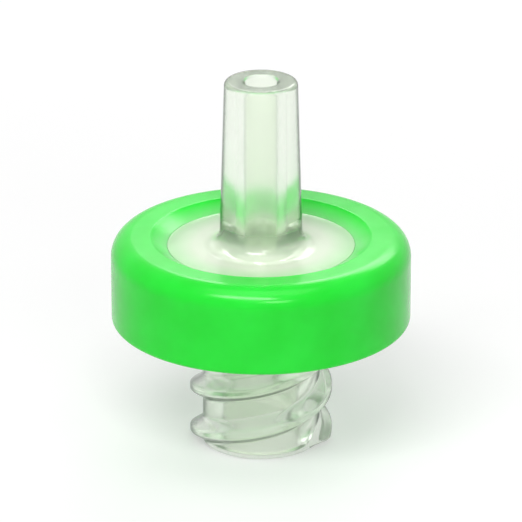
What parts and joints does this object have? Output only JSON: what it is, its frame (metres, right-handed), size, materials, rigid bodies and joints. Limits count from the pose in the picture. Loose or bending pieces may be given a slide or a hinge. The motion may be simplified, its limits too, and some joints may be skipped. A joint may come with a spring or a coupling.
{
  "type": "syringe filter",
  "caption": "Small disc-shaped syringe filter: white membrane in a translucent housing, green overmoulded ring, threaded luer-lock socket below and tapered luer tip above.",
  "frame": {"origin": "on the filter's axis, in the plane of the inlet's mouth, which is its lowest face", "axes": "+Z along the filter's axis, from the female inlet up to the male outlet; the part is round, so X and Y are any two directions across it"},
  "size_m": [0.0164, 0.0162, 0.0208],
  "materials": {
    "natural_polypropylene": "satin",
    "green_polypropylene": "gloss",
    "nylon_membrane": "matte"
  },
  "bodies": {
    "root": {"inlet_housing": "natural_polypropylene", "outlet_housing": "natural_polypropylene", "membrane": "nylon_membrane", "overmould_ring": "green_polypropylene"}
  },
  "joints": []
}
